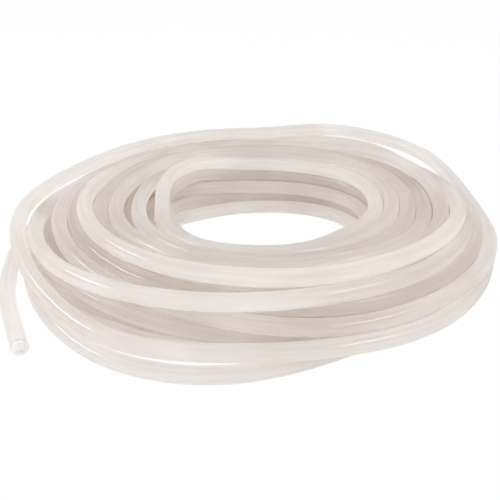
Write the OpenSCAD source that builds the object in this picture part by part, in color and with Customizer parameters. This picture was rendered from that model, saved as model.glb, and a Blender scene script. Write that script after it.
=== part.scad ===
// A loosely wound coil of plain silicone tubing, lying flat.
// Millimetres, +Z up; the origin is the middle of the bounding box's base.
// The tube starts inside the eye and winds out and up in five layers.
// Its last turns stray over the pile, and it ends loose on the floor.

/* [Tube] */
// Outside diameter of the tube
tube_d = 8; // [7:0.5:9]
// Bore of the tube
bore_d = 5; // [3:0.5:6]

/* [Coil] */
// Radius of the eye at the front, to the middle of its first turn
eye_r = 57; // [50:1:70]
// Room left between neighbouring turns
turn_gap = 0.5; // [0.4:0.1:1]

/* [Ends] */
// Length of the straight stretch at the loose end
loose_l = 36; // [24:1:48]
// Length of the straight stretch at the inner end
inner_l = 18; // [12:1:22]
// Compass direction that the loose end points in, 0 along +X
loose_heading = 295; // [285:1:305]

/* [Hidden] */

// ---- fineness ----
// stations along one turn of the coil
stations = 18;
// flats round the coil's tube
flats = 8;
// stations along the drop to the loose end
drop_stations = 5;
// facets round the two straight ends
$fn = 64;
// how far a bore is cut past its mouth
over = 1;

// ---- derived ----
tube_r = tube_d/2;
// middle of one turn to the middle of the next one
pitch = tube_d + turn_gap;

// ---- the wind ----
// where the six columns of the table below lie round the coil
sides = [-90, -30, 30, 90, 150, 210];
// Each row: turn, layer, then how many pitches the turn lies outside
// the eye at the front, front right, back right, back, back left and
// front left. Between rows the tube moves over evenly.
wind = [
    [ 0.22,   0, -1.9, -1.8, 1.4, 0.2, 0.3,  0.1],
    [ 0.28,   0, -0.7, -0.7, 1.4, 0.2, 0.3,  0.1],
    [ 0.34,   0, -0.1,  0.1, 1.4, 0.2, 0.3,  0.1],
    [  0.5,   0,  0.1,  0.6, 1.4, 0.2, 0.3,  0.1],
    [  7.2,   0,  7.6,  7.4, 7.2,   7, 7.2,  7.4],
    [    8,   0,    8,  7.6, 7.5, 7.6, 7.8,    8],
    [  8.1,   0,  9.7,  7.8, 7.6, 7.7, 7.9,  8.3],
    [ 8.17,   0,   10,  7.8, 7.6, 7.8,   8,  8.3],
    [ 8.22,   0,  9.3,  7.8, 7.6, 7.8,   8,  8.3],
    [ 8.27, 0.1,  8.3,  7.6, 7.5, 7.8,   8,  8.2],
    [ 8.42,   1,  7.7,  7.1, 7.3, 7.8,   8,  8.1],
    [ 8.52,   1,  7.7,    7, 7.2, 7.7,   8,  8.1],
    [ 15.1,   1,  0.4,  0.8, 1.6, 0.2, 0.4,  0.2],
    [ 15.6,   2,  0.4,  0.8, 1.6, 0.2, 0.4,  0.1],
    [ 21.6,   2,  7.8,  6.9, 6.9, 7.8,   8,    8],
    [ 22.2,   3,  7.7,  6.6, 6.2, 7.7, 7.6,  7.6],
    [ 23.2,   3,  6.8,    6, 5.3, 6.6, 6.5,  6.4],
    [ 24.2,   3,  5.9,  5.2, 4.4, 5.4, 5.3,  5.2],
    [ 25.2,   3,    5,  4.5, 3.5, 4.2, 4.1,  4.2],
    [ 26.2,   3,  4.1,  3.7, 2.6,   3, 2.9,  3.1],
    [ 27.2,   3,  3.3,  2.9, 1.9, 1.8, 1.6,  1.8],
    [   28,   3,  2.5,    2, 1.5, 0.5, 0.2, -0.2],
    [ 28.5,   4,  3.9,  2.3, 1.6, 0.5, 0.1, -0.3],
    [ 29.5,   4,  4.5,    3, 2.3, 1.3, 0.9,  0.8],
    [ 30.5,   4,  5.2,  3.8, 3.1, 2.2,   2,  2.6],
    [ 31.5,   4,  5.9,  4.6, 3.8, 3.2, 2.9,  3.8],
    [ 32.5,   4,  6.5,  5.6, 4.5, 4.1, 3.8,  4.4],
    [ 33.2,   4,  6.9,  5.9, 4.9, 4.7, 4.6,  4.9],
    [ 33.6, 3.8,    7,  6.1,   5,   5, 4.8,  5.2],
    [ 34.1, 3.9,  7.2,  6.9, 6.3, 5.4,   5,  5.4],
    [34.35, 2.6,  7.4,  7.2, 7.1, 5.6, 5.3,  5.6],
    [ 34.6, 2.6,  7.5,  7.4, 7.1, 5.8, 5.5,  5.7],
    [ 34.8, 3.7,  7.6,  7.6, 7.3,   6, 5.5,  5.8],
    [ 35.1, 3.8,  7.7,  7.7, 7.4, 6.2, 5.5,  5.9],
    [35.36, 1.8,    8,  8.1, 7.8, 6.8, 5.6,  6.1]
];
// the last turns, which stray over the others and then down round
// the outside: turn, layer, pitches outside the eye
stray = [
    [35.36, 1.8,  8.2],
    [35.44, 1.8,  8.3],
    [ 35.5, 1.9,    8],
    [35.56, 3.9,  7.9],
    [ 35.6, 4.5,  8.2],
    [35.63, 4.5,    8],
    [35.67, 4.5,  7.3],
    [35.74, 4.5,  6.2],
    [ 35.8, 4.5,  6.1],
    [35.87, 4.2,  5.8],
    [35.92, 3.6,  6.6],
    [35.96, 3.3,  7.8],
    [   36, 2.8,  8.3],
    [36.06, 2.1,  8.5],
    [36.12, 1.4,  8.9],
    [36.17,   1,  9.4],
    [36.28,   1,  8.8],
    [36.36,   1,  8.5],
    [36.44,   1, 8.25],
    [ 36.5,   1,  8.3],
    [36.57,   1,  8.5],
    [36.74,   1,  8.8],
    [ 36.9,   1,  8.9],
    [36.94,   1,  8.9],
    [   37,   1,  8.7]
];
// compass direction in which the last turn ends
last_angle = 185;
// the first station, a little after the start of the first turn
first_station = 4;
last_station = stations*stray[len(stray) - 1][0];
last = last_station - first_station;
// the turns are loose before the first of these and held from the second
hold_turns = [35.3, 35.5];
// where the straight loose end starts: pitches outside the eye, direction
loose_from = [10.3, 215];

// ---- how the pile settles ----
// rounds of falling, and spreading passes in each and after the last
rounds = 20;
passes = 3;
last_passes = 40;
// fall in the first round, less in each later one
fall = 0.5;
// pull back towards the plan of a loose turn and of a held one
pull = 0.04;
grip = 0.3;
// how much of a kink the tube's stiffness takes out in a round
stiffness = 0.5;

// ---- sums ----
function total(v) = [for (x = v) 1]*v;
function unit(v) = v/norm(v);
function column(c) = [for (row = wind) [row[0], row[c]]];
columns = [for (c = [1 : len(wind[0]) - 1]) column(c)];
function stray_column(c) = [for (row = stray) [row[0], row[c]]];
stray_layers = stray_column(1);
stray_tracks = stray_column(2);

function turn_at(i) = (first_station + i)/stations;
function angle_at(i) = last_angle - 360*(last - i)/stations;
function radius_at(tracks) = eye_r + pitch*tracks;
function height_at(layer) = tube_d*(0.5 + layer);

// ---- the plan: radius and height of each station ----
function side_share(a) = (1 + 2*cos(a) + 2*cos(2*a) + cos(3*a))/6;
function wound_tracks(u, a) = total([
    for (s = [0 : len(sides) - 1])
        side_share(a - sides[s])*lookup(u, columns[s + 1])
]);
function planned(u, a) =
    u < stray[0][0]
        ? [radius_at(wound_tracks(u, a)), height_at(lookup(u, columns[0]))]
        : [radius_at(lookup(u, stray_tracks)), height_at(lookup(u, stray_layers))];
plan = [for (i = [0 : last]) planned(turn_at(i), angle_at(i))];
loose = [
    for (i = [0 : last])
        max(0, min(1, (hold_turns[1] - turn_at(i))/(hold_turns[1] - hold_turns[0])))
];

// ---- spreading: turns less than a pitch apart push each other away ----
function push(p, i, all) = let(
    pushes = [
        for (j = [i % stations : stations : len(all) - 1])
            let(away = p - all[j], far = norm(away))
                if (far > 0 && far < pitch)
                    away*(pitch/far - 1)
    ])
    len(pushes) == 0 ? [0, 0] : total(pushes)/sqrt(len(pushes));
function spread(p) = let(
    middle = [for (i = [0 : last - 1]) (p[i] + p[i + 1])/2],
    here = [for (i = [0 : last]) push(p[i], i, p)],
    between = [for (i = [0 : last - 1]) push(middle[i], i, middle)])
    [
        for (i = [0 : last])
            let(before = i > 0 ? between[i - 1] : [0, 0],
                after = i < last ? between[i] : [0, 0],
                q = p[i] + here[i]/2 + (before + after)/4)
                [q[0], max(q[1], tube_r)]
    ];
function spread_times(p, n) = n == 0 ? p : spread_times(spread(p), n - 1);

// ---- falling: loose turns drop, held ones keep to the plan ----
function drop_one(p, i, share) = let(
    off = plan[i] - p[i],
    free = loose[i],
    hold = grip*(1 - free))
    p[i] + [(pull*free + hold)*off[0], hold*off[1] - fall*share*free];
function dropped(p, share) = [for (i = [0 : last]) drop_one(p, i, share)];
function eased(p) = let(
    bent = [for (i = [0 : last]) p[i] - [plan[i][0], plan[i][1]*(1 - loose[i])]])
    [
        for (i = [0 : last])
            i == 0 || i == last
                ? p[i]
                : p[i] + stiffness*((bent[i - 1] + bent[i + 1])/2 - bent[i])
    ];
function settled(p, n) =
    n == 0
        ? spread_times(p, last_passes)
        : settled(spread_times(eased(dropped(p, n/rounds)), passes), n - 1);
laid = settled(plan, rounds);

// ---- the tube's route, the drop to the loose end last ----
function polar(r, a, z) = [r*cos(a), r*sin(a), z];
turns_route = [for (i = [0 : last]) polar(laid[i][0], angle_at(i), laid[i][1])];
loose_way = polar(1, loose_heading, 0);
loose_start = polar(radius_at(loose_from[0]), loose_from[1], tube_r);
drop_from = turns_route[last];
drop_way = unit(drop_from - turns_route[last - 1]);
handle = norm(loose_start - drop_from)/3;
function bezier(a, b, c, d, s) =
    pow(1 - s, 3)*a + 3*s*pow(1 - s, 2)*b + 3*s*s*(1 - s)*c + s*s*s*d;
drop_route = [
    for (i = [1 : drop_stations])
        bezier(drop_from, drop_from + handle*drop_way,
            loose_start - handle*loose_way, loose_start, i/drop_stations)
];
route = concat(turns_route, drop_route);
route_last = len(route) - 1;
inner_way = let(back = route[0] - route[1]) unit([back[0], back[1], 0]);
inner_heading = atan2(inner_way[1], inner_way[0]);

// ---- the tube's skin: a ring of corners at each station ----
function way_at(i) =
    i == 0 ? -inner_way
    : i == route_last ? loose_way
    : unit(route[i + 1] - route[i - 1]);
function ring(p, way) = let(
    across = unit(cross([0, 0, 1], way)),
    up = cross(way, across))
    [
        for (k = [0 : flats - 1])
            let(a = 360*k/flats)
                p + tube_r*(cos(a)*across + sin(a)*up)
    ];
rings = [for (i = [0 : route_last]) ring(route[i], way_at(i))];
corners = [for (r = rings) each r];
quads = [
    for (i = [0 : route_last - 1], k = [0 : flats - 1])
        let(a = i*flats + k, b = i*flats + (k + 1) % flats)
            [a, a + flats, b + flats, b]
];
skin = [for (q = quads) each [[q[0], q[1], q[3]], [q[3], q[1], q[2]]]];
first_cap = [for (k = [0 : flats - 1]) k];
last_cap = [for (k = [flats - 1 : -1 : 0]) route_last*flats + k];

// the pile's own middle, which the origin is put under
function middle_of(v) = (min(v) + max(v))/2;
centre = [for (axis = [0, 1]) middle_of([for (p = corners) p[axis]])];
module centred() {
    translate([-centre[0], -centre[1], 0])
        children();
}

// a straight, open end of the tube, from where the coil stops
module straight_end(start, heading, length) {
    centred()
        translate(start)
            rotate([0, 90, heading])
                difference() {
                    cylinder(d = tube_d, h = length);
                    cylinder(d = bore_d, h = length + over);
                }
}

// ---- sub-parts ----
// all the turns, the stray one and the drop, as one run of tube
module coil() {
    color("#dcd6ce")
        centred()
            polyhedron(corners, concat([first_cap], skin, [last_cap]), convexity = 20);
}

// the loose end, lying on the floor beside the coil
module loose_end() {
    color("#e4ded6")
        straight_end(loose_start, loose_heading, loose_l);
}

// the end that the winding starts from, curled into the eye
module inner_end() {
    color("#e4ded6")
        straight_end(route[0], inner_heading, inner_l);
}

coil();
loose_end();
inner_end();
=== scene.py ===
"""A loosely wound coil of plain translucent silicone tubing on a white floor."""
import math

import bpy
import numpy as np
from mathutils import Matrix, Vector


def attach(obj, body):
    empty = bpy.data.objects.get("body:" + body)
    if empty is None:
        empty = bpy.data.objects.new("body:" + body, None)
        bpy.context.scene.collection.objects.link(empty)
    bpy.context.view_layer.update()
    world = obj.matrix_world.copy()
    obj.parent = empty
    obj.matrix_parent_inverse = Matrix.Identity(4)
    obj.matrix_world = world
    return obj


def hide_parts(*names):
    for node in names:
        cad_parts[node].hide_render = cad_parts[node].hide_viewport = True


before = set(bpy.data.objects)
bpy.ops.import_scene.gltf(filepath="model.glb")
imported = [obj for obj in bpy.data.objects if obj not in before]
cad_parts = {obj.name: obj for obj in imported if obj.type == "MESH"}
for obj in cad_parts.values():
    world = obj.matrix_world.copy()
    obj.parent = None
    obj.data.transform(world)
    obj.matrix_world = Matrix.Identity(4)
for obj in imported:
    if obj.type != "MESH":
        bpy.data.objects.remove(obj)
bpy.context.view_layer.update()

MM = 0.001
scene = bpy.context.scene

# ---- sizes, in millimetres, as in the part's source ----
TUBE_D = 8.0
BORE_D = 5.0
EYE_R = 57.0
TURN_GAP = 0.5
LOOSE_L = 36.0
INNER_L = 18.0
LOOSE_HEADING = 295.0
TUBE_R = TUBE_D / 2
PITCH = TUBE_D + TURN_GAP
STATIONS = 18
DROP_STATIONS = 5
# where the points of the two straight ends lie along them
INNER_AT = (1, 0.5)
LOOSE_AT = (1 / 3, 2 / 3, 1)
# flats round the source's coil
SOURCE_FLATS = 8

# ---- the wind: turn, layer, pitches outside the eye at the six sides ----
SIDES = np.radians([-90, -30, 30, 90, 150, 210])
WIND = np.array([
    [ 0.22,   0, -1.9, -1.8, 1.4, 0.2, 0.3,  0.1],
    [ 0.28,   0, -0.7, -0.7, 1.4, 0.2, 0.3,  0.1],
    [ 0.34,   0, -0.1,  0.1, 1.4, 0.2, 0.3,  0.1],
    [  0.5,   0,  0.1,  0.6, 1.4, 0.2, 0.3,  0.1],
    [  7.2,   0,  7.6,  7.4, 7.2,   7, 7.2,  7.4],
    [    8,   0,    8,  7.6, 7.5, 7.6, 7.8,    8],
    [  8.1,   0,  9.7,  7.8, 7.6, 7.7, 7.9,  8.3],
    [ 8.17,   0,   10,  7.8, 7.6, 7.8,   8,  8.3],
    [ 8.22,   0,  9.3,  7.8, 7.6, 7.8,   8,  8.3],
    [ 8.27, 0.1,  8.3,  7.6, 7.5, 7.8,   8,  8.2],
    [ 8.42,   1,  7.7,  7.1, 7.3, 7.8,   8,  8.1],
    [ 8.52,   1,  7.7,    7, 7.2, 7.7,   8,  8.1],
    [ 15.1,   1,  0.4,  0.8, 1.6, 0.2, 0.4,  0.2],
    [ 15.6,   2,  0.4,  0.8, 1.6, 0.2, 0.4,  0.1],
    [ 21.6,   2,  7.8,  6.9, 6.9, 7.8,   8,    8],
    [ 22.2,   3,  7.7,  6.6, 6.2, 7.7, 7.6,  7.6],
    [ 23.2,   3,  6.8,    6, 5.3, 6.6, 6.5,  6.4],
    [ 24.2,   3,  5.9,  5.2, 4.4, 5.4, 5.3,  5.2],
    [ 25.2,   3,    5,  4.5, 3.5, 4.2, 4.1,  4.2],
    [ 26.2,   3,  4.1,  3.7, 2.6,   3, 2.9,  3.1],
    [ 27.2,   3,  3.3,  2.9, 1.9, 1.8, 1.6,  1.8],
    [   28,   3,  2.5,    2, 1.5, 0.5, 0.2, -0.2],
    [ 28.5,   4,  3.9,  2.3, 1.6, 0.5, 0.1, -0.3],
    [ 29.5,   4,  4.5,    3, 2.3, 1.3, 0.9,  0.8],
    [ 30.5,   4,  5.2,  3.8, 3.1, 2.2,   2,  2.6],
    [ 31.5,   4,  5.9,  4.6, 3.8, 3.2, 2.9,  3.8],
    [ 32.5,   4,  6.5,  5.6, 4.5, 4.1, 3.8,  4.4],
    [ 33.2,   4,  6.9,  5.9, 4.9, 4.7, 4.6,  4.9],
    [ 33.6, 3.8,    7,  6.1,   5,   5, 4.8,  5.2],
    [ 34.1, 3.9,  7.2,  6.9, 6.3, 5.4,   5,  5.4],
    [34.35, 2.6,  7.4,  7.2, 7.1, 5.6, 5.3,  5.6],
    [ 34.6, 2.6,  7.5,  7.4, 7.1, 5.8, 5.5,  5.7],
    [ 34.8, 3.7,  7.6,  7.6, 7.3,   6, 5.5,  5.8],
    [ 35.1, 3.8,  7.7,  7.7, 7.4, 6.2, 5.5,  5.9],
    [35.36, 1.8,    8,  8.1, 7.8, 6.8, 5.6,  6.1],
])
# the last turns, which stray over the others and down round the outside
STRAY = np.array([
    [35.36, 1.8,  8.2],
    [35.44, 1.8,  8.3],
    [ 35.5, 1.9,    8],
    [35.56, 3.9,  7.9],
    [ 35.6, 4.5,  8.2],
    [35.63, 4.5,    8],
    [35.67, 4.5,  7.3],
    [35.74, 4.5,  6.2],
    [ 35.8, 4.5,  6.1],
    [35.87, 4.2,  5.8],
    [35.92, 3.6,  6.6],
    [35.96, 3.3,  7.8],
    [   36, 2.8,  8.3],
    [36.06, 2.1,  8.5],
    [36.12, 1.4,  8.9],
    [36.17,   1,  9.4],
    [36.28,   1,  8.8],
    [36.36,   1,  8.5],
    [36.44,   1, 8.25],
    [ 36.5,   1,  8.3],
    [36.57,   1,  8.5],
    [36.74,   1,  8.8],
    [ 36.9,   1,  8.9],
    [36.94,   1,  8.9],
    [   37,   1,  8.7],
])
# compass direction of the last station
LAST_ANGLE = 185
# the station of the first turn that the coil starts at
FIRST_STATION = 4
# turns after the first are held more and more, and after the second wholly
HOLD_TURNS = (35.3, 35.5)
# pitches outside the eye and compass direction of the loose end's start
LOOSE_FROM = (10.3, 215)

# ---- how the pile settles ----
ROUNDS, PASSES, LAST_PASSES = 20, 3, 40
FALL, PULL, GRIP, STIFFNESS = 0.5, 0.04, 0.3, 0.5
# stand-ins for missing stations, too far off to push anything
FAR_OFF, FAR_APART = 1e7, 1e4


def planned(turn, angle):
    """Radius and height of each station as planned, in millimetres."""
    tracks = np.zeros(len(turn))
    for k, side in enumerate(SIDES):
        a = angle - side
        share = (1 + 2 * np.cos(a) + 2 * np.cos(2 * a) + np.cos(3 * a)) / 6
        tracks += share * np.interp(turn, WIND[:, 0], WIND[:, k + 2])
    layers = np.interp(turn, WIND[:, 0], WIND[:, 1])
    last = turn >= STRAY[0, 0]
    tracks[last] = np.interp(turn[last], STRAY[:, 0], STRAY[:, 2])
    layers[last] = np.interp(turn[last], STRAY[:, 0], STRAY[:, 1])
    return np.stack([EYE_R + PITCH * tracks, TUBE_D * (0.5 + layers)], -1)


def pushes(points):
    """How far turns less than a pitch apart push each other away."""
    n = len(points)
    turns = -(-n // STATIONS)
    padded = np.full((turns * STATIONS, 2), FAR_OFF)
    padded[:n] = points
    padded[n:, 0] += np.arange(len(padded) - n) * FAR_APART
    grid = padded.reshape(turns, STATIONS, 2)
    away = grid[:, None] - grid[None]
    far = np.linalg.norm(away, axis=-1)
    near = (far < PITCH) & (far > 0)
    share = np.where(near, PITCH / np.maximum(far, 1e-9) - 1, 0.0)
    count = np.maximum(near.sum(1), 1)
    moved = (away * share[..., None]).sum(1) / np.sqrt(count)[..., None]
    return moved.reshape(-1, 2)[:n]


def spread(points, times):
    """Let the turns push each other apart, and lift them to the floor."""
    for _ in range(times):
        between = pushes((points[:-1] + points[1:]) / 2)
        moved = pushes(points) / 2
        moved[:-1] += between / 4
        moved[1:] += between / 4
        points = points + moved
        points[:, 1] = np.maximum(points[:, 1], TUBE_R)
    return points


def settled(plan, loose):
    """The planned stations after the pile has dropped and settled."""
    points = plan.copy()
    hold = GRIP * (1 - loose)
    for n in range(ROUNDS, 0, -1):
        off = plan - points
        points[:, 0] += (PULL * loose + hold) * off[:, 0]
        points[:, 1] += hold * off[:, 1] - FALL * n / ROUNDS * loose
        bent = points - np.stack([plan[:, 0], plan[:, 1] * (1 - loose)], -1)
        points[1:-1] += STIFFNESS * ((bent[:-2] + bent[2:]) / 2 - bent[1:-1])
        points = spread(points, PASSES)
    return spread(points, LAST_PASSES)


def unit(v):
    return v / np.linalg.norm(v, axis=-1, keepdims=True)


def heading(degrees):
    a = math.radians(degrees)
    return np.array([math.cos(a), math.sin(a), 0.0])


def coil_route():
    """The stations of the whole tube, from its inner end to its loose end."""
    last = STATIONS * STRAY[-1, 0] - FIRST_STATION
    i = np.arange(int(last) + 1)
    turn = (FIRST_STATION + i) / STATIONS
    angle = np.radians(LAST_ANGLE - 360 * (last - i) / STATIONS)
    held_from, held_whole = HOLD_TURNS
    loose = np.clip((held_whole - turn) / (held_whole - held_from), 0, 1)
    laid = settled(planned(turn, angle), loose)
    turns = np.stack(
        [laid[:, 0] * np.cos(angle), laid[:, 0] * np.sin(angle), laid[:, 1]], -1
    )
    way = heading(LOOSE_HEADING)
    start = (EYE_R + PITCH * LOOSE_FROM[0]) * heading(LOOSE_FROM[1])
    start[2] = TUBE_R
    a, d = turns[-1], start
    handle = np.linalg.norm(d - a) / 3
    b, c = a + handle * unit(turns[-1] - turns[-2]), d - handle * way
    s = (np.arange(1, DROP_STATIONS + 1) / DROP_STATIONS)[:, None]
    drop = (
        (1 - s) ** 3 * a
        + 3 * s * (1 - s) ** 2 * b
        + 3 * s * s * (1 - s) * c
        + s**3 * d
    )
    inner_way = turns[0] - turns[1]
    inner_way[2] = 0
    inner_way = unit(inner_way)
    inner = turns[0] + inner_way * INNER_L * np.array(INNER_AT)[:, None]
    end = start + way * LOOSE_L * np.array(LOOSE_AT)[:, None]
    return np.concatenate([inner, turns, drop, end])


def spline(points, fineness):
    """A smooth curve through the points, with some points added between them."""
    n = len(points)
    matrix = np.diag(np.full(n, 4.0)) + np.eye(n, k=1) + np.eye(n, k=-1)
    matrix[0, 0] = matrix[-1, -1] = 2
    right = np.zeros_like(points)
    right[1:-1] = 3 * (points[2:] - points[:-2])
    right[0] = 3 * (points[1] - points[0])
    right[-1] = 3 * (points[-1] - points[-2])
    slope = np.linalg.solve(matrix, right)
    at = np.arange((n - 1) * fineness + 1) / fineness
    k = np.minimum(at.astype(int), n - 2)
    t = (at - k)[:, None]
    p, q, u, v = points[k], points[k + 1], slope[k], slope[k + 1]
    return (
        p * (1 + 2 * t) * (1 - t) ** 2
        + u * t * (1 - t) ** 2
        + q * t * t * (3 - 2 * t)
        + v * t * t * (t - 1)
    )


# ---- camera ----
AIM = np.array([1.4, 2.6, 0.0]) * MM
DISTANCE, ELEVATION, FIELD = 0.406, 24.0, 40.0
SHIFT_X, SHIFT_Y = -0.014, -0.004
elevation = math.radians(ELEVATION)
camera = bpy.data.objects.new("camera", bpy.data.cameras.new("camera"))
scene.collection.objects.link(camera)
camera.location = Vector(AIM) + DISTANCE * Vector(
    (0, -math.cos(elevation), math.sin(elevation))
)
camera.rotation_euler = (math.radians(90 - ELEVATION), 0, 0)
camera.data.angle = math.radians(FIELD)
camera.data.shift_x = SHIFT_X
camera.data.shift_y = SHIFT_Y
scene.camera = camera

# ---- the tube ----
# points of the route for each station
FINE = 4
# facets round the outside and round the bore
OUTER_SIDES, INNER_SIDES = 20, 12


def swept(points, radius, sides, first):
    """Rings of corners along the points, and the faces that join them."""
    way = np.empty_like(points)
    way[1:-1] = unit(points[2:] - points[:-2])
    way[0] = unit(points[1] - points[0])
    way[-1] = unit(points[-1] - points[-2])
    across = unit(np.cross([0.0, 0.0, 1.0], way))
    up = np.cross(way, across)
    a = 2 * math.pi * np.arange(sides) / sides
    cosine, sine = np.cos(a)[None, :, None], np.sin(a)[None, :, None]
    ring = cosine * across[:, None] + sine * up[:, None]
    rings = points[:, None] + radius * ring
    i, k = np.meshgrid(np.arange(len(points) - 1), np.arange(sides), indexing="ij")
    here = first + i * sides + k
    beside = first + i * sides + (k + 1) % sides
    faces = np.stack([here, beside, beside + sides, here + sides], -1)
    return rings.reshape(-1, 3), faces.reshape(-1, 4)


def cap(outer_first, inner_first, turned):
    """The cut face between the tube's outside and its bore."""
    faces = []
    i = k = 0
    while i < OUTER_SIDES or k < INNER_SIDES:
        outer = outer_first + i % OUTER_SIDES
        inner = inner_first + k % INNER_SIDES
        outer_next = (i + 1) / OUTER_SIDES <= (k + 1) / INNER_SIDES
        if i < OUTER_SIDES and (k == INNER_SIDES or outer_next):
            i += 1
            faces.append([outer, outer_first + i % OUTER_SIDES, inner])
        else:
            k += 1
            faces.append([outer, inner_first + k % INNER_SIDES, inner])
    return [face[::-1] for face in faces] if turned else faces


def tube_mesh(points):
    """The hollow tube along the points, with u round it and v metres along."""
    outer, outer_faces = swept(points, TUBE_R * MM, OUTER_SIDES, 0)
    inner, inner_faces = swept(points, BORE_D / 2 * MM, INNER_SIDES, len(outer))
    last_outer = len(outer) - OUTER_SIDES
    last_inner = len(outer) + len(inner) - INNER_SIDES
    faces = outer_faces.tolist() + inner_faces[:, ::-1].tolist()
    faces += cap(0, len(outer), True) + cap(last_outer, last_inner, False)
    mesh = bpy.data.meshes.new("tubing")
    mesh.from_pydata(np.concatenate([outer, inner]).tolist(), [], faces)
    mesh.update()
    mesh.shade_smooth()

    steps = np.linalg.norm(np.diff(points, axis=0), axis=1)
    along = np.concatenate([[0], np.cumsum(steps)])
    corner = np.zeros(len(mesh.loops), int)
    mesh.loops.foreach_get("vertex_index", corner)
    is_outer = corner < len(outer)
    own = np.where(is_outer, corner, corner - len(outer))
    sides = np.where(is_outer, OUTER_SIDES, INNER_SIDES)
    u = (own % sides) / sides
    v = along[own // sides]
    # the last strip round the tube joins its end to its start
    totals = np.zeros(len(mesh.polygons), int)
    mesh.polygons.foreach_get("loop_total", totals)
    face = np.repeat(np.arange(len(totals)), totals)
    low, high = np.ones(len(totals)), np.zeros(len(totals))
    np.minimum.at(low, face, u)
    np.maximum.at(high, face, u)
    wraps = (high - low)[face] > 0.5
    u = np.where(wraps & (u < 0.5), u + 1, u)
    uv = mesh.uv_layers.new(name="tube")
    uv.data.foreach_set("uv", np.stack([u, v], -1).astype(np.float32).ravel())
    return mesh


stations = coil_route()
route = spline(stations, FINE)
# the source puts the origin under the middle of the eight-sided coil
turns_only = stations[len(INNER_AT):-len(LOOSE_AT)]
corners, _ = swept(turns_only, TUBE_R, SOURCE_FLATS, 0)
shift = -(corners.min(0) + corners.max(0)) / 2
shift[2] = 0
path = (route + shift) * MM
tubing = bpy.data.objects.new("tubing", tube_mesh(path))
scene.collection.objects.link(tubing)
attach(tubing, "root")
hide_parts("coil", "loose_end", "inner_end")

# ---- the silicone ----
# share of the light that goes through a wall and comes out milky
SEEN_THROUGH = 0.9
CLOUDY_AND_PAINTED_HIGHLIGHT = (0.999, 0.989, 0.981, 1)
CLEAR_AND_PAINTED_SHADE = (0.94, 0.92, 0.905, 1)
# the noise between these two goes from cloudy to clear; along the streaks it is painted
# light, with lighter lines for highlights and darker lines for the bore's edges seen
# through the wall
TINT_FROM, TINT_TO = 0.4, 0.6
# how much of the tint follows the streaks, which paint highlight and shade lines, and
# how much the clouds
PAINTED_LINE_SHARE, CLOUD_SHARE = 0.75, 0.25
STREAK_PER_M = 8
STREAK_SCALE, STREAK_DETAIL = 2.4, 2
CLOUD_SCALE, CLOUD_DETAIL = 45, 3
SMOOTHEST, ROUGHEST = 0.22, 0.38
# the streaks' height in metres, and how strongly it shows
STREAK_HEIGHT, STREAK_STRENGTH = 0.0003, 0.5
GLOSS = {
    "IOR": 1.41,
    "Specular IOR Level": 1.0,
    "Coat Weight": 1.0,
    "Coat Roughness": 0.1,
    "Coat IOR": 3.8,
}


def maker(tree):
    """Functions that add a node to this tree, and that link two sockets."""

    def node(kind, **settings):
        made = tree.nodes.new("ShaderNode" + kind)
        for name, value in settings.items():
            setattr(made, name, value)
        return made

    return node, tree.links.new


def silicone():
    """Milky rubber that glows through, with faint streaks along the tube in its
    roughness and bumps, also painted into its tint as highlight and shade lines.
    """
    material = bpy.data.materials.new("silicone")
    material.use_nodes = True
    nodes = material.node_tree.nodes
    node, link = maker(material.node_tree)

    def times(value, factor):
        made = node("Math", operation="MULTIPLY")
        link(value, made.inputs[0])
        made.inputs[1].default_value = factor
        return made.outputs[0]

    def noise(vector, scale, detail):
        made = node("TexNoise")
        made.inputs["Scale"].default_value = scale
        made.inputs["Detail"].default_value = detail
        link(vector, made.inputs["Vector"])
        return made.outputs["Fac"]

    # round the tube as a circle, so that the streaks close on themselves
    place = node("CombineXYZ")
    parts = node("SeparateXYZ")
    link(node("UVMap", uv_map="tube").outputs["UV"], parts.inputs[0])
    turn = times(parts.outputs["X"], 2 * math.pi)
    for axis, operation in (("X", "COSINE"), ("Y", "SINE")):
        side = node("Math", operation=operation)
        link(turn, side.inputs[0])
        link(side.outputs[0], place.inputs[axis])
    link(times(parts.outputs["Y"], STREAK_PER_M), place.inputs["Z"])
    streaks = noise(place.outputs[0], STREAK_SCALE, STREAK_DETAIL)
    cloud = noise(node("TexCoord").outputs["Object"], CLOUD_SCALE, CLOUD_DETAIL)

    # in the tint the streaks are painted highlight lines and painted shade lines, and
    # the clouds are random tone
    blend = node("Math", operation="MULTIPLY_ADD")
    link(streaks, blend.inputs[0])
    blend.inputs[1].default_value = PAINTED_LINE_SHARE
    link(times(cloud, CLOUD_SHARE), blend.inputs[2])
    tint = node("ValToRGB")
    ramp = tint.color_ramp.elements
    ramp[0].position, ramp[0].color = TINT_FROM, CLOUDY_AND_PAINTED_HIGHLIGHT
    ramp[1].position, ramp[1].color = TINT_TO, CLEAR_AND_PAINTED_SHADE
    link(blend.outputs[0], tint.inputs["Fac"])

    rough = node("MapRange")
    for name, value in (("From Min", 0.3), ("From Max", 0.7),
                        ("To Min", SMOOTHEST), ("To Max", ROUGHEST)):
        rough.inputs[name].default_value = value
    link(streaks, rough.inputs["Value"])
    bump = node("Bump")
    bump.inputs["Strength"].default_value = STREAK_STRENGTH
    bump.inputs["Distance"].default_value = STREAK_HEIGHT
    link(streaks, bump.inputs["Height"])

    skin = nodes["Principled BSDF"]
    link(tint.outputs["Color"], skin.inputs["Base Color"])
    link(rough.outputs["Result"], skin.inputs["Roughness"])
    link(bump.outputs["Normal"], skin.inputs["Normal"])
    for name, value in GLOSS.items():
        skin.inputs[name].default_value = value
    # the translucent part takes the same tint, with its painted highlight and shade
    # lines
    through = node("BsdfTranslucent")
    link(tint.outputs["Color"], through.inputs["Color"])
    both = node("MixShader")
    both.inputs[0].default_value = SEEN_THROUGH
    link(skin.outputs[0], both.inputs[1])
    link(through.outputs[0], both.inputs[2])
    link(both.outputs[0], nodes["Material Output"].inputs["Surface"])
    return material


tubing.data.materials.append(silicone())

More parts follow.
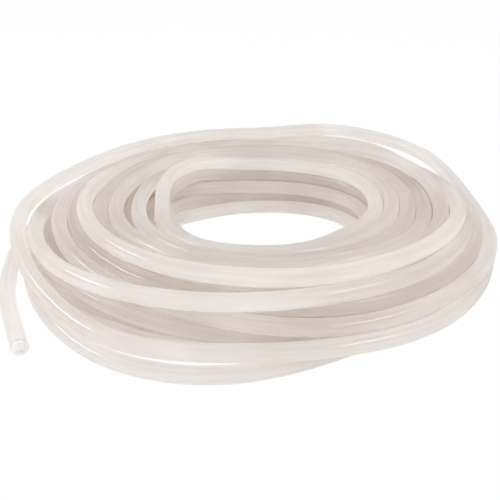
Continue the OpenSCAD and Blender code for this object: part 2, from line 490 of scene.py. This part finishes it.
# ---- floor ----
FLOOR = 4.0
FLOOR_DROP = 0.0002
PAPER = (0.9, 0.9, 0.9, 1)
# how much of the floor that is seen is its own white, and how bright that is
GLOW_SHARE, GLOW = 0.88, 1.06


def seen_by(tree, *kinds):
    """1 for these kinds of ray, and 0 for others."""
    node, link = maker(tree)
    rays = node("LightPath")
    value = rays.outputs[kinds[0]]
    for kind in kinds[1:]:
        most = node("Math", operation="MAXIMUM")
        link(value, most.inputs[0])
        link(rays.outputs[kind], most.inputs[1])
        value = most.outputs[0]
    return value


floor_mesh = bpy.data.meshes.new("floor")
floor_mesh.from_pydata(
    [(-FLOOR, -FLOOR, 0), (FLOOR, -FLOOR, 0), (FLOOR, FLOOR, 0), (-FLOOR, FLOOR, 0)],
    [], [(0, 1, 2, 3)])
floor = bpy.data.objects.new("floor", floor_mesh)
floor.location.z = -FLOOR_DROP
scene.collection.objects.link(floor)
paper = bpy.data.materials.new("paper")
paper.use_nodes = True
node, link = maker(paper.node_tree)
white = paper.node_tree.nodes["Principled BSDF"]
white.inputs["Base Color"].default_value = PAPER
white.inputs["Roughness"].default_value = 0.9
white.inputs["Specular IOR Level"].default_value = 0.0
glow = node("Emission")
glow.inputs["Strength"].default_value = GLOW
part = node("Math", operation="MULTIPLY")
part.inputs[1].default_value = GLOW_SHARE
mix = node("MixShader")
seen = seen_by(paper.node_tree, "Is Camera Ray", "Is Glossy Ray", "Is Transmission Ray")
link(seen, part.inputs[0])
link(part.outputs[0], mix.inputs[0])
link(white.outputs[0], mix.inputs[1])
link(glow.outputs[0], mix.inputs[2])
link(mix.outputs[0], paper.node_tree.nodes["Material Output"].inputs["Surface"])
floor_mesh.materials.append(paper)

# ---- light ----
SKY = 0.54
world = bpy.data.worlds.new("studio")
scene.world = world
world.use_nodes = True
node, link = maker(world.node_tree)
sky = world.node_tree.nodes["Background"]
sky.inputs["Color"].default_value = (1, 1, 1, 1)
sky.inputs["Strength"].default_value = SKY
backdrop = node("Background")
backdrop.inputs["Color"].default_value = (1, 1, 1, 1)
backdrop.inputs["Strength"].default_value = 1.0
mix = node("MixShader")
seen = seen_by(world.node_tree, "Is Camera Ray", "Is Transmission Ray")
link(seen, mix.inputs[0])
link(sky.outputs[0], mix.inputs[1])
link(backdrop.outputs[0], mix.inputs[2])
link(mix.outputs[0], world.node_tree.nodes["World Output"].inputs["Surface"])


def lamp(name, place, wide, high, power):
    """A rectangular lamp, level and turned to the middle of the floor."""
    data = bpy.data.lights.new(name, "AREA")
    data.shape = "RECTANGLE"
    data.size = wide
    data.size_y = high
    data.energy = power
    light = bpy.data.objects.new(name, data)
    scene.collection.objects.link(light)
    light.location = place
    light.rotation_euler = (-Vector(place)).to_track_quat("-Z", "Y").to_euler()


# level strips draw the thin highlights along the turns
lamp("left", (-0.95, 0.05, 0.55), wide=0.7, high=0.04, power=2.8)
lamp("right", (0.75, -0.45, 0.75), wide=0.7, high=0.04, power=2.2)
lamp("front", (-0.3, -1.4, 0.35), wide=1.0, high=1.0, power=1.8)
scene.view_settings.view_transform = "Standard"
# light goes through many walls before it leaves the pile
BOUNCES, WALLS = 96, 64
scene.cycles.max_bounces = BOUNCES
scene.cycles.diffuse_bounces = WALLS
scene.cycles.transmission_bounces = WALLS
